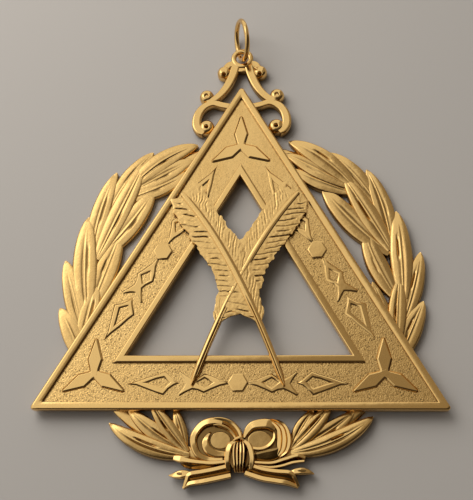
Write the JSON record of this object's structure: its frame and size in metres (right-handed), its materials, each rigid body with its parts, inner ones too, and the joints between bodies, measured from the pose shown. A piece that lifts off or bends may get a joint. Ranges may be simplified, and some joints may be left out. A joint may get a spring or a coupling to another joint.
{
  "type": "collar jewel",
  "caption": "Gilded collar jewel: a raised-border triangle with crossed quill pens over a laurel wreath and ribbon bow, hung by a ring from a scroll crest.",
  "frame": {"origin": "under the middle of the whole jewel, on the surface that it lies on", "axes": "+Z out of the jewel's face, away from the surface; +Y from the bow towards the suspension ring; +X to the right as the face is seen"},
  "size_m": [0.0842, 0.1044, 0.0095],
  "materials": {
    "gilt_frame": "gilded, polished borders and pebbled ground",
    "gilt_bright": "gilded and polished",
    "gilt_pin": "plain filed"
  },
  "bodies": {
    "jewel": {"triangle_frame": "gilt_frame", "crossed_quills": "gilt_bright", "laurel_wreath": "gilt_bright", "ribbon_bow": "gilt_bright", "scroll_crest": "gilt_bright", "wreath_rivet_left": "gilt_pin", "wreath_rivet_right": "gilt_pin", "wreath_rivet_top": "gilt_pin", "bow_rivet": "gilt_pin", "crest_rivet": "gilt_pin", "quill_pin_left": "gilt_pin", "quill_pin_right": "gilt_pin"},
    "ring": {"suspension_ring": "gilt_bright"}
  },
  "joints": [
    {"name": "ring_swing", "type": "hinge", "parent": "jewel", "child": "ring", "pos_m": [0, 0.04414, 0.00205], "axis": [0, 0, 1], "range_deg": [-108, 68]}
  ]
}
